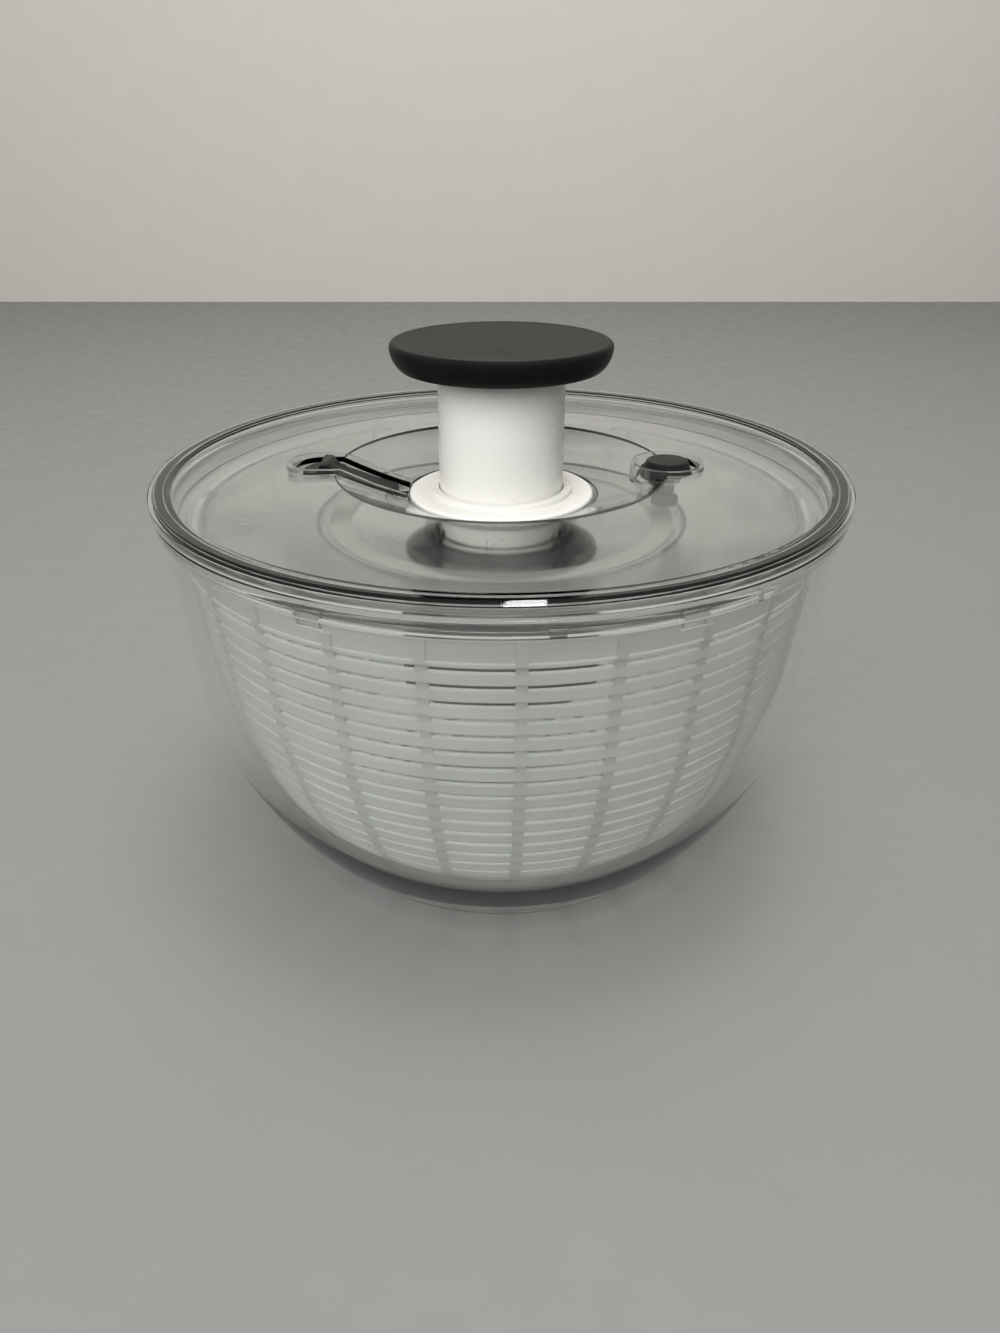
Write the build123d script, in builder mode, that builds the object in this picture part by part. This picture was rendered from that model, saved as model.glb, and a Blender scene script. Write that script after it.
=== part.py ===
from build123d import *
from math import hypot
import os

os.makedirs("parts", exist_ok=True)

# All sizes are in millimetres. The origin is the centre of the base, +Z is up.
# The lock is on the -X side of the lid and the brake is on the +X side.

# ---- clearances ----
running_fit = 0.08
slide_gap = 0.35
seat_gap = 0.4
turning_gap = 0.6
edge_break = 0.6
small_break = 0.4

# ---- bowl ----
mouth_radius = 131.2
bowl_height = 150.0
base_radius = 86.0
belly_inset, belly_z = 19.8, 35.5
shoulder_inset, shoulder_z = 6.0, 78.0
rim_lip = 1.5
rim_depth = 3.8
bowl_wall = 2.4
bowl_floor = 2.6
foot_width = 5.0
pivot_radius = 4.0
pivot_engagement = 5.0
pivot_foot = 5.0
rim_radius = mouth_radius + rim_lip
belly_radius = mouth_radius - belly_inset
shoulder_radius = mouth_radius - shoulder_inset
inner_mouth = mouth_radius - bowl_wall

# ---- plunger, collar and knob ----
tube_radius = 24.4
tube_wall = 2.1
stroke = 44.0
collar_reach = 12.0
collar_plate = 1.8
collar_ring_wall = 3.25
collar_ring_rise = 3.7
knob_radius = 41.9
knob_height = 9.7
knob_clearance = 2.0
knob_edge = 2.0
pad_wall = 4.3
pad_cover = 3.2
core_plate = 2.0
core_plug = 4.5
tube_bore = tube_radius - tube_wall
guide_radius = tube_radius + slide_gap
collar_radius = tube_radius + collar_reach

# ---- lid, with its heights above the bowl's rim ----
lid_overhang = 0.8
lid_sheet = 2.2
ridge_height = 6.0
edge_gap = 1.5
ridge_lean = 0.6
ridge_edge = 1.0
field_drop = 0.4
field_rise = 1.05
crest_radius, crest_height = 64.8, 4.9
dish_sag = 0.55
dish_depth = 5.5
seat_step = 1.2
seat_rim = 1.6
bore_flange = 5.25
plug_gap = 0.5
plug_wall = 2.0
plug_neck = 0.7
plug_depth = 7.5
plug_tab_angles = (-82.6, -49.4, 97.4, 130.6)
plug_tab_width = 5.0
lid_radius = rim_radius + lid_overhang
lid_top_z = bowl_height + ridge_height
field_z = bowl_height - field_drop
crest_z = bowl_height + crest_height
dish_low_z = bowl_height - dish_depth
seat_z = dish_low_z - seat_step
seat_radius = collar_radius + seat_rim
lid_bore = guide_radius + bore_flange
collar_ring_radius = guide_radius + collar_ring_wall
collar_ring_top = seat_z + collar_ring_rise
knob_under_z = collar_ring_top + stroke + knob_clearance
knob_top = knob_under_z + knob_height
plug_outer = inner_mouth - plug_gap
field_radius = plug_outer - plug_neck - lid_sheet - seat_gap

# ---- turntable and brake track, with their depths below the bowl's rim ----
hub_wall = 1.8
hub_depth = 32.0
hub_flange = 10.0
hub_flange_plate = 2.0
hub_lip = 1.5
hub_lip_height = 1.6
hub_finger_count = 6
hub_finger_start = 25.0
hub_finger_angle = 11.0
hub_slot_width = 1.4
hub_slot_height = 14.0
bearing_wall = 2.4
bearing_height = 9.6
table_hub_depth = 22.0
table_rim_depth = 6.0
table_rim_drop = 3.0
table_rim_width = 9.0
table_plate = 2.0
table_overhang = 1.0
track_depth = 16.5
track_width = 8.0
track_shift = 0.9
track_plate = 1.2
track_bed_margin = 3.0
guide_ring_wall = 1.8
guide_ring_depth = 6.0
lug_count = 6
lug_width = 9.0
lug_depth = 4.6
hub_radius = guide_radius + hub_wall
hub_seat = hub_radius + running_fit + bearing_wall
hub_bottom = bowl_height - hub_depth
table_hub_z = bowl_height - table_hub_depth
table_rim_z = bowl_height - table_rim_depth
track_top = bowl_height - track_depth

# ---- basket ----
basket_side_gap = 8.8
basket_rim_gap = 2.0
basket_floor_z = 12.0
basket_foot_gap = 3.0
basket_foot_height = 5.0
basket_corner_reach, basket_corner_z = 8.5, 22.5
basket_knee_reach, basket_knee_z = 15.7, 32.0
basket_belly_inset, basket_belly_z = 12.8, 54.5
basket_shoulder_inset, basket_shoulder_z = 5.4, 82.0
basket_wall = 2.2
rib_count = 24
rib_start = 3.0
rib_width = 3.7
slot_height = 2.2
slot_pitch = 6.35
rim_band = 12.4
floor_slot_width = 2.8
floor_slot_pitch = 9.0
floor_slot_start = 26.0
boss_wall = 5.0
boss_cover = 2.0
basket_mouth_radius = inner_mouth - basket_side_gap
basket_floor_radius = base_radius - basket_foot_gap
basket_top = table_rim_z - table_plate - basket_rim_gap
pivot_top = basket_floor_z + pivot_engagement
table_radius = basket_mouth_radius + table_overhang

# ---- clutch housing and drive ----
bell_room = 10.0
bell_wall = 2.0
bell_floor_plate = 2.5
bell_neck_wall = 2.4
bell_dome_drop = 17.0
tube_end_gap = 1.5
ratchet_gap = 3.3
ratchet_bore = 8.0
ratchet_plate = 2.0
tooth_count = 8
tooth_height = 1.6
tooth_gap = 0.6
spindle_radius = 3.0
washer_plate = 1.0
washer_margin = 2.0
bar_width, bar_thickness = 14.0, 6.0
bar_lead = 34.0
bar_gap = 0.3
bar_room = 1.4
nut_height = 5.0
nut_above_seat = 1.2
bar_above_nut = 2.0
spring_wire = 1.3
spring_turns = 7
bell_radius = hub_seat + bell_wall + bell_room
tube_bottom = hub_bottom + tube_end_gap
bell_room_z = tube_bottom - stroke - tube_end_gap
bell_floor_z = bell_room_z - bell_floor_plate
ratchet_radius = tube_bore - ratchet_gap
bar_radius = hypot(bar_width, bar_thickness) / 2

# ---- lock ----
lock_reach = 34.0
lock_thumb_half = 7.5
lock_arm_half = 5.75
lock_thumb_length = 16.5
lock_end_room = 3.1
lock_side_room = 2.85
lock_floor_height = 0.5
lock_rim_height = 6.3
lock_wall = 1.8
lock_travel = 4.0
tongue_half = 4.0
tongue_plate = 2.6
tongue_rest_gap = 0.8
lock_end_x = -seat_radius - lock_reach
lock_end_half = lock_thumb_half + lock_end_room + lock_wall
lock_throat_half = lock_arm_half + lock_side_room + lock_wall
tray_slope = 0.4
tray_level_end = 2.2
tray_foot_reach, tray_foot_run = 9.2, 1.8
tray_lip = 1.4
tray_shoulder_run, tray_shoulder_rise = 12.0, 5.8
tray_margin = 1.0
thumb_gap = 0.2
throat_lap = 1.0
lock_floor_z = bowl_height + lock_floor_height
lock_rim_z = bowl_height + lock_rim_height

# ---- brake ----
brake_x = crest_radius + 0.6
brake_travel = 4.0
button_radius = 10.3
button_taper = 2.4
button_height = 6.5
button_wall = 1.6
pocket_side_room = 2.6
pocket_wall = 1.6
pocket_floor_depth = 4.0
pocket_rim_height = 6.2
stem_radius = 3.5
pad_radius = 5.2
pad_depth = 3.0
pad_socket = 1.5
brake_spring_radius = 5.4
brake_wire = 0.8
brake_turns = 5
pocket_radius = button_radius + pocket_side_room + pocket_wall
pocket_floor_z = bowl_height - pocket_floor_depth
pocket_rim_z = bowl_height + pocket_rim_height
track_outer = brake_x - track_shift + track_width / 2
track_inner = track_outer - track_width


def ring(outer, inner, low, high):
    """A flat-ended ring about the Z axis, from low to high."""
    with BuildPart() as made:
        with BuildSketch(Plane.XY.offset(low)):
            Circle(outer)
            Circle(inner, mode=Mode.SUBTRACT)
        extrude(amount=high - low)
    return made.part


def coil(radius, wire, low, high, turns):
    """A compression spring about the Z axis, whose wire lies between two levels."""
    rise = high - low - wire
    with BuildPart() as made:
        with BuildLine():
            path = Helix(pitch=rise / turns, height=rise, radius=radius, center=(0, 0, low + wire / 2))
        with BuildSketch(Plane(origin=path @ 0, z_dir=path % 0)):
            Circle(wire / 2)
        sweep(is_frenet=True)
    return made.part


def save(part, node):
    """Labels one finished piece and writes its STEP file."""
    part.label = node
    export_step(part, f"parts/{node}.step")


# ---- bowl: one clear moulding with a rim and a centre pin for the basket ----
inner_belly = belly_radius - bowl_wall
inner_shoulder = shoulder_radius - bowl_wall
with BuildPart() as bowl:
    with BuildSketch(Plane.XZ):
        with BuildLine():
            wall = ThreePointArc(
                (base_radius, 0), (belly_radius, belly_z), (shoulder_radius, shoulder_z)
            )
            Polyline(
                wall @ 1,
                (mouth_radius, bowl_height - rim_depth),
                (rim_radius, bowl_height - rim_depth),
                (rim_radius, bowl_height),
                (0, bowl_height),
                (0, 0),
                wall @ 0,
            )
        make_face()
        with BuildLine():
            inner_wall = ThreePointArc(
                (base_radius - foot_width, bowl_floor),
                (inner_belly, belly_z),
                (inner_shoulder, shoulder_z),
            )
            Polyline(
                inner_wall @ 1,
                (inner_mouth, bowl_height - rim_depth),
                (inner_mouth, bowl_height),
                (0, bowl_height),
                (0, bowl_floor),
                inner_wall @ 0,
            )
        make_face(mode=Mode.SUBTRACT)
    revolve(axis=Axis.Z)
    with BuildSketch(Plane.XY.offset(bowl_floor)):
        Circle(pivot_radius + pivot_foot)
    extrude(amount=bowl_floor)
    with BuildSketch(Plane.XY.offset(bowl_floor)):
        Circle(pivot_radius)
    extrude(amount=pivot_top - bowl_floor)
    pin_tip = bowl.edges().filter_by(GeomType.CIRCLE).filter_by(lambda e: e.radius < pivot_radius + 0.1)
    chamfer(pin_tip.sort_by(Axis.Z)[-1], length=pivot_radius / 3)
save(bowl.part, "bowl")

# ---- basket: slotted wall with upright ribs, turning on the bowl's pin ----


def basket_outline(inset):
    """Half section of the basket's solid, drawn in by a wall: closed along the axis and the mouth."""
    corner = (basket_floor_radius + basket_corner_reach - inset, basket_corner_z)
    knee = (basket_floor_radius + basket_knee_reach - inset, basket_knee_z)
    belly = (basket_mouth_radius - basket_belly_inset - inset, basket_belly_z)
    shoulder = (basket_mouth_radius - basket_shoulder_inset - inset, basket_shoulder_z)
    foot = (basket_floor_radius - inset, basket_floor_z + basket_foot_height)
    ThreePointArc(foot, corner, knee)
    ThreePointArc(knee, belly, shoulder)
    Polyline(
        shoulder,
        (basket_mouth_radius - inset, basket_top),
        (0, basket_top),
        (0, basket_floor_z + inset),
        (basket_floor_radius - inset, basket_floor_z + inset),
        foot,
    )


slot_top_z = basket_top - rim_band
slot_rows = int((slot_top_z - basket_corner_z) / slot_pitch) + 1
floor_slots = int((basket_floor_radius - basket_wall - floor_slot_start) / floor_slot_pitch)
with BuildPart() as basket_shell:
    with BuildSketch(Plane.XZ):
        with BuildLine():
            basket_outline(0)
        make_face()
        with BuildLine():
            basket_outline(basket_wall)
        make_face(mode=Mode.SUBTRACT)
    revolve(axis=Axis.Z)
    with BuildSketch(Plane.XY.offset(basket_floor_z)):
        Circle(pivot_radius + boss_wall)
    extrude(amount=pivot_top + boss_cover - basket_floor_z + seat_gap)
    with BuildSketch(Plane.XY.offset(basket_floor_z)):
        Circle(pivot_radius + running_fit)
    extrude(amount=pivot_top + seat_gap - basket_floor_z, mode=Mode.SUBTRACT)
    with BuildSketch(Plane.XY.offset(basket_top)):
        with PolarLocations(basket_mouth_radius - basket_wall / 2, lug_count):
            Rectangle(4 * basket_wall, lug_width + 2 * turning_gap)
    extrude(amount=-lug_depth, mode=Mode.SUBTRACT)

slot_inner = basket_floor_radius - 2 * basket_wall
with BuildPart() as slots:
    for row in range(slot_rows):
        with BuildSketch(Plane.XY.offset(slot_top_z - row * slot_pitch)):
            Circle(basket_mouth_radius + basket_wall)
            Circle(slot_inner, mode=Mode.SUBTRACT)
        extrude(amount=slot_height / 2, both=True)
    for step in range(floor_slots):
        with BuildSketch(Plane.XY.offset(basket_floor_z)):
            Circle(floor_slot_start + step * floor_slot_pitch + floor_slot_width)
            Circle(floor_slot_start + step * floor_slot_pitch, mode=Mode.SUBTRACT)
        extrude(amount=basket_wall)
    with BuildSketch(Plane.XY):
        with PolarLocations(basket_mouth_radius / 2, rib_count, start_angle=rib_start):
            Rectangle(basket_mouth_radius + 4 * basket_wall, rib_width)
    extrude(amount=basket_top, mode=Mode.SUBTRACT)
basket = basket_shell.part - slots.part
save(basket, "basket")

# ---- lid: clear top with a ridge, a domed field and a dished middle ----
tongue_top = seat_z - seat_gap
tongue_bottom = tongue_top - tongue_plate
slot_half = tongue_half + seat_gap
slot_low = tongue_bottom - seat_gap
field_mid = ((crest_radius + field_radius) / 2, (crest_z + field_z) / 2 + field_rise)
dish_mid = ((seat_radius + crest_radius) / 2, (dish_low_z + crest_z) / 2 - dish_sag)
with BuildPart() as lid_top:
    with BuildSketch(Plane.XZ):
        with BuildLine():
            seat = Polyline(
                (lid_bore, seat_z), (collar_radius + seat_gap, seat_z), (seat_radius, dish_low_z)
            )
            dish = ThreePointArc(seat @ 1, dish_mid, (crest_radius, crest_z))
            field = ThreePointArc(dish @ 1, field_mid, (field_radius, field_z))
            Polyline(
                field @ 1,
                (field_radius + ridge_lean, lid_top_z - edge_break),
                (field_radius + 2 * ridge_lean, lid_top_z),
                (lid_radius - 2 * ridge_edge, lid_top_z),
                (lid_radius, lid_top_z - ridge_edge),
                (lid_radius, bowl_height + edge_gap),
            )
            offset(amount=lid_sheet, side=Side.RIGHT)
        make_face()
    revolve(axis=Axis.Z)
    # brake pocket
    with BuildSketch(Plane.XY.offset(pocket_floor_z - lid_sheet)):
        with Locations((brake_x, 0)):
            Circle(pocket_radius)
    extrude(amount=pocket_rim_z - pocket_floor_z + lid_sheet)
    with BuildSketch(Plane.XY.offset(pocket_floor_z)):
        with Locations((brake_x, 0)):
            Circle(pocket_radius - pocket_wall)
    extrude(amount=pocket_rim_z - pocket_floor_z, mode=Mode.SUBTRACT)
    with Locations((brake_x, 0, pocket_floor_z)):
        Hole(stem_radius + slide_gap, depth=2 * lid_sheet)

# lock pocket: a tray with a level outer end and a floor that follows the dish inward
throat_x = -seat_radius + throat_lap
thumb_tip_x = lock_end_x - lock_end_half + lock_wall + lock_travel + thumb_gap
lock_thumb_x = thumb_tip_x + lock_thumb_length
tray_knee_x = lock_thumb_x - tray_level_end
tray_foot_x = throat_x - tray_foot_reach
tray_foot_z = lock_floor_z + tray_slope * (tray_knee_x - tray_foot_x)
tray_edge_x = lock_end_x - lock_end_half - tray_margin
tray_clear_z = lid_top_z + lock_rim_height
tray_floor = [
    (tray_edge_x, lock_floor_z),
    (tray_knee_x, lock_floor_z),
    (tray_foot_x, tray_foot_z),
    (tray_foot_x + tray_foot_run, slot_low),
    (throat_x, slot_low),
]
tray_top = [
    (throat_x, dish_low_z + tray_lip),
    (throat_x - tray_shoulder_run, dish_low_z + tray_shoulder_rise),
    (lock_thumb_x, lock_rim_z),
    (tray_edge_x, lock_rim_z),
]
with BuildPart() as tray:
    with BuildSketch(Plane.XZ):
        with BuildLine():
            Polyline(*[(x, z - lock_wall) for x, z in tray_floor], *tray_top, close=True)
        make_face()
    extrude(amount=lock_end_half + tray_margin, both=True)
    with BuildSketch(Plane.XY.offset(slot_low - 2 * lock_wall)):
        with Locations((lock_end_x, 0)):
            Circle(lock_end_half)
        Polygon(
            (lock_end_x, -lock_end_half),
            (throat_x, -lock_throat_half),
            (throat_x, lock_throat_half),
            (lock_end_x, lock_end_half),
            align=None,
        )
    extrude(amount=lid_top_z, mode=Mode.INTERSECT)
with BuildPart() as tray_room:
    with BuildSketch(Plane.XZ):
        with BuildLine():
            Polyline(*tray_floor, (throat_x, tray_clear_z), (tray_edge_x, tray_clear_z), close=True)
        make_face()
    extrude(amount=lock_end_half + tray_margin, both=True)
    with BuildSketch(Plane.XY.offset(slot_low - 2 * lock_wall)):
        with Locations((lock_end_x, 0)):
            Circle(lock_end_half - lock_wall)
        Polygon(
            (lock_end_x, lock_wall - lock_end_half),
            (throat_x, lock_wall - lock_throat_half),
            (throat_x, lock_throat_half - lock_wall),
            (lock_end_x, lock_end_half - lock_wall),
            align=None,
        )
    extrude(amount=lid_top_z, mode=Mode.INTERSECT)
with BuildPart() as tongue_slot:
    with BuildSketch(Plane.XY.offset(slot_low)):
        with Locations(((throat_x - tube_radius) / 2 + throat_lap, 0)):
            Rectangle(-throat_x - tube_radius + 4 * throat_lap, 2 * slot_half)
    extrude(amount=seat_z - slot_low)
lid_body = lid_top.part + tray.part - tray_room.part - tongue_slot.part
save(lid_body, "lid_top")

# ---- plug ring: drops inside the bowl's mouth and rests over its rim ----
plug_inner = plug_outer - plug_wall
plug_bottom = bowl_height - plug_depth
plug_seat = bowl_height + seat_gap
sheet_outer = field_radius + lid_sheet + seat_gap
with BuildPart() as plug_ring:
    with BuildSketch(Plane.XZ):
        with BuildLine():
            Polyline(
                (plug_inner, plug_bottom),
                (plug_outer, plug_bottom),
                (plug_outer, plug_seat),
                (lid_radius - lid_sheet - seat_gap, plug_seat),
                (lid_radius - lid_sheet - seat_gap, lid_top_z - lid_sheet),
                (sheet_outer + ridge_lean, lid_top_z - lid_sheet),
                (sheet_outer, field_z + edge_gap - seat_gap),
                (sheet_outer, field_z - lid_sheet - seat_gap),
                (plug_inner, field_z - lid_sheet - seat_gap),
                close=True,
            )
        make_face()
    revolve(axis=Axis.Z)
    for angle in plug_tab_angles:
        with BuildSketch(Plane.XY.offset(plug_bottom)):
            with PolarLocations(plug_inner, 1, start_angle=angle):
                Rectangle(2 * plug_wall - edge_break, plug_tab_width)
        extrude(amount=plug_wall)
save(plug_ring.part, "plug_ring")

# ---- collar: white flange and guide ring around the plunger ----
with BuildPart() as collar:
    with BuildSketch(Plane.XZ):
        with BuildLine():
            Polyline(
                (guide_radius, seat_z - lid_sheet),
                (lid_bore, seat_z - lid_sheet),
                (lid_bore, seat_z),
                (collar_radius, seat_z),
                (collar_radius, seat_z + collar_plate - edge_break),
                (collar_radius - edge_break, seat_z + collar_plate),
                (collar_ring_radius, seat_z + collar_plate),
                (collar_ring_radius, collar_ring_top - small_break),
                (collar_ring_radius - small_break, collar_ring_top),
                (guide_radius, collar_ring_top),
                close=True,
            )
        make_face()
    revolve(axis=Axis.Z)
    add(tongue_slot.part, mode=Mode.SUBTRACT)
save(collar.part, "collar")

# ---- hub: clear guide tube with snap fingers that carry the turntable ----
hub_top = seat_z - lid_sheet
hub_flange_radius = guide_radius + hub_flange
with BuildPart() as hub:
    with BuildSketch(Plane.XZ):
        with BuildLine():
            Polyline(
                (guide_radius, hub_bottom),
                (hub_radius + hub_lip - edge_break, hub_bottom),
                (hub_radius + hub_lip, hub_bottom + hub_lip_height),
                (hub_radius, hub_bottom + hub_lip_height),
                (hub_radius, hub_top - hub_flange_plate),
                (hub_flange_radius, hub_top - hub_flange_plate),
                (hub_flange_radius, hub_top),
                (guide_radius, hub_top),
                close=True,
            )
        make_face()
    revolve(axis=Axis.Z)
    with BuildSketch(Plane.XY.offset(hub_bottom)):
        for side in (-hub_finger_angle / 2, hub_finger_angle / 2):
            with PolarLocations(hub_radius, hub_finger_count, start_angle=hub_finger_start + side):
                Rectangle(4 * hub_wall, hub_slot_width)
    extrude(amount=hub_slot_height, mode=Mode.SUBTRACT)
    add(tongue_slot.part, mode=Mode.SUBTRACT)
save(hub.part, "hub_tube")

# ---- plunger tube with two lock windows, one for each end of the stroke ----
with BuildPart() as plunger_tube:
    with BuildSketch(Plane.XY.offset(tube_bottom)):
        Circle(tube_radius)
        Circle(tube_bore, mode=Mode.SUBTRACT)
    extrude(amount=knob_under_z - tube_bottom)
    for level in (slot_low, slot_low + stroke):
        with BuildSketch(Plane.XY.offset(level)):
            with Locations((-tube_radius, 0)):
                Rectangle(3 * tube_wall, 2 * slot_half)
        extrude(amount=tongue_plate + 2 * seat_gap, mode=Mode.SUBTRACT)
save(plunger_tube.part, "plunger_tube")

# ---- knob: hard core plugged into the tube, with a soft grip pad over it ----
core_top = knob_top - pad_cover
core_radius = knob_radius - pad_wall
core_bore = bar_radius + bar_room
knob_widest_z = knob_top - knob_edge
knob_top_radius = knob_radius - 1.4
with BuildPart() as knob_core:
    with BuildSketch(Plane.XZ):
        with BuildLine():
            Polyline(
                (core_bore, knob_under_z - core_plug),
                (tube_bore, knob_under_z - core_plug),
                (tube_bore, knob_under_z),
                (core_radius, knob_under_z),
                (core_radius, core_top),
                (0, core_top),
                (0, core_top - core_plate),
                (core_bore, core_top - core_plate),
                close=True,
            )
        make_face()
    revolve(axis=Axis.Z)
save(knob_core.part, "knob_core")

flank_mid = (knob_radius - 1.3, (knob_under_z + knob_widest_z) / 2 - 0.8)
edge_mid = (knob_radius - 0.3, (knob_top + knob_widest_z) / 2 + 0.3)
with BuildPart() as knob_pad:
    with BuildSketch(Plane.XZ):
        with BuildLine():
            Polyline(
                (0, knob_top),
                (0, core_top),
                (core_radius, core_top),
                (core_radius, knob_under_z),
                (core_radius + 0.4, knob_under_z),
            )
            flank = ThreePointArc(
                (core_radius + 0.4, knob_under_z), flank_mid, (knob_radius, knob_widest_z)
            )
            edge = ThreePointArc(flank @ 1, edge_mid, (knob_top_radius, knob_top))
            Line(edge @ 1, (0, knob_top))
        make_face()
    revolve(axis=Axis.Z)
save(knob_pad.part, "knob_pad")

# ---- turntable: shallow cone with a guide ring and lugs that drive the basket ----
track_bed_z = track_top - track_plate
track_bed_outer = track_outer + track_bed_margin
table_mid_radius = table_radius - table_rim_width
table_mid_z = table_rim_z - table_rim_drop
with BuildPart() as turntable:
    with BuildSketch(Plane.XZ):
        with BuildLine():
            Polyline(
                (hub_seat, table_hub_z),
                (bell_radius + 1, table_hub_z),
                (track_inner - seat_gap, track_bed_z),
                (track_bed_outer, track_bed_z),
                (track_bed_outer + 1, track_top + 1.2),
                (table_mid_radius, table_mid_z),
                (table_radius, table_rim_z),
            )
            offset(amount=table_plate, side=Side.RIGHT)
        make_face()
    revolve(axis=Axis.Z)
    guide_outer = basket_mouth_radius - basket_wall - 2 * turning_gap
    guide_top = table_mid_z - 0.4
    with BuildSketch(Plane.XY.offset(guide_top)):
        Circle(guide_outer)
        Circle(guide_outer - guide_ring_wall, mode=Mode.SUBTRACT)
    extrude(amount=-guide_ring_depth)
    with BuildSketch(Plane.XY.offset(guide_top)):
        with PolarLocations(guide_outer, lug_count):
            Rectangle(2 * (basket_mouth_radius - guide_outer - turning_gap), lug_width)
    extrude(amount=-lug_depth)
save(turntable.part, "turntable")

brake_track = ring(track_outer, track_inner, track_bed_z, track_top)
save(brake_track, "brake_track")

bearing_low = hub_bottom + hub_lip_height + seat_gap
bearing = ring(hub_seat, hub_radius + running_fit, bearing_low, bearing_low + bearing_height)
save(bearing, "turntable_bearing")

# ---- clutch housing: a translucent bell under the turntable ----
neck_z = table_hub_z - table_plate
bell_dome_z = neck_z - bell_dome_drop
bell_outer_mid = (bell_radius - 3.8, neck_z - 6.8)
bell_inner_mid = (bell_radius - 3.8 - 0.7 * bell_wall, neck_z - 6.8 - 0.7 * bell_wall)
with BuildPart() as bell:
    with BuildSketch(Plane.XZ):
        with BuildLine():
            outer_arc = ThreePointArc(
                (hub_seat + bell_neck_wall, neck_z), bell_outer_mid, (bell_radius, bell_dome_z)
            )
            Polyline(
                outer_arc @ 1, (bell_radius, bell_floor_z), (0, bell_floor_z), (0, neck_z), outer_arc @ 0
            )
        make_face()
        with BuildLine():
            inner_arc = ThreePointArc(
                (hub_seat, neck_z - 1), bell_inner_mid, (bell_radius - bell_wall, bell_dome_z)
            )
            Polyline(
                inner_arc @ 1,
                (bell_radius - bell_wall, bell_room_z),
                (0, bell_room_z),
                (0, neck_z),
                (hub_seat, neck_z),
                inner_arc @ 0,
            )
        make_face(mode=Mode.SUBTRACT)
    revolve(axis=Axis.Z)
    with Locations((0, 0, bell_room_z)):
        Hole(spindle_radius + running_fit, depth=2 * bell_floor_plate)
save(bell.part, "clutch_housing")

# ---- one-way clutch: saw teeth on the housing floor and under the screw's foot ----
driven_top = bell_room_z + ratchet_plate
driver_low = driven_top + 2 * tooth_height + tooth_gap
tooth_length = ratchet_radius - ratchet_bore - 2
tooth_run = 4 * tooth_height


def tooth(face_side, up):
    """One saw tooth on a plate: its steep face is on the given side."""
    with BuildPart() as made:
        with BuildSketch(Plane.YZ.offset(ratchet_bore + 1)):
            Polygon((0, 0), (-face_side * tooth_run, 0), (0, up * tooth_height), align=None)
        extrude(amount=tooth_length)
    return made.part


with BuildPart() as clutch_ring:
    add(ring(ratchet_radius, ratchet_bore, bell_room_z, driven_top))
    with PolarLocations(0, tooth_count):
        add(Pos(0, 0, driven_top) * tooth(-1, 1))
save(clutch_ring.part, "clutch_ring")

with BuildPart() as clutch_driver:
    add(ring(ratchet_radius, spindle_radius, driver_low, driver_low + ratchet_plate))
    with PolarLocations(0, tooth_count):
        add(Pos(0, 0, driver_low) * tooth(1, -1))
save(clutch_driver.part, "clutch_driver")

foot_top = driver_low + ratchet_plate
washer_radius = ratchet_radius - washer_margin
washer_bore = bar_radius + bar_room
spring_radius = (washer_radius + washer_bore) / 2
washer = ring(washer_radius, washer_bore, foot_top, foot_top + washer_plate)
save(washer, "thrust_washer")

# ---- drive screw and nut: a twisted flat bar through a matching slot ----
nut_bottom = seat_z + nut_above_seat
nut_top = nut_bottom + nut_height
bar_top = nut_top + bar_above_nut


def twisted_bar(width, thickness, low, high):
    """A flat bar about the Z axis, twisted by one turn per lead."""
    with BuildSketch(Plane.XY.offset(low)) as section:
        Rectangle(width, thickness, rotation=360 * low / bar_lead)
    turn = 360 * (high - low) / bar_lead
    wire = section.sketch.face().outer_wire()
    return Solid.extrude_linear_with_rotation(wire, (0, 0, low), (0, 0, high - low), turn)


with BuildPart() as drive_screw:
    add(twisted_bar(bar_width, bar_thickness, foot_top, bar_top))
    with BuildSketch(Plane.XY.offset(bell_floor_z - tooth_gap)):
        Circle(spindle_radius)
    extrude(amount=foot_top - bell_floor_z + tooth_gap)
save(drive_screw.part, "drive_screw")

with BuildPart() as drive_nut:
    with BuildSketch(Plane.XY.offset(nut_bottom)):
        Circle(tube_bore)
    extrude(amount=nut_height)
    slot = twisted_bar(bar_width + 2 * bar_gap, bar_thickness + 2 * bar_gap, nut_bottom, nut_top)
    add(slot, mode=Mode.SUBTRACT)
save(drive_nut.part, "drive_nut")

return_spring = coil(spring_radius, spring_wire, foot_top + washer_plate, nut_bottom, spring_turns)
save(return_spring, "return_spring")

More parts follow.
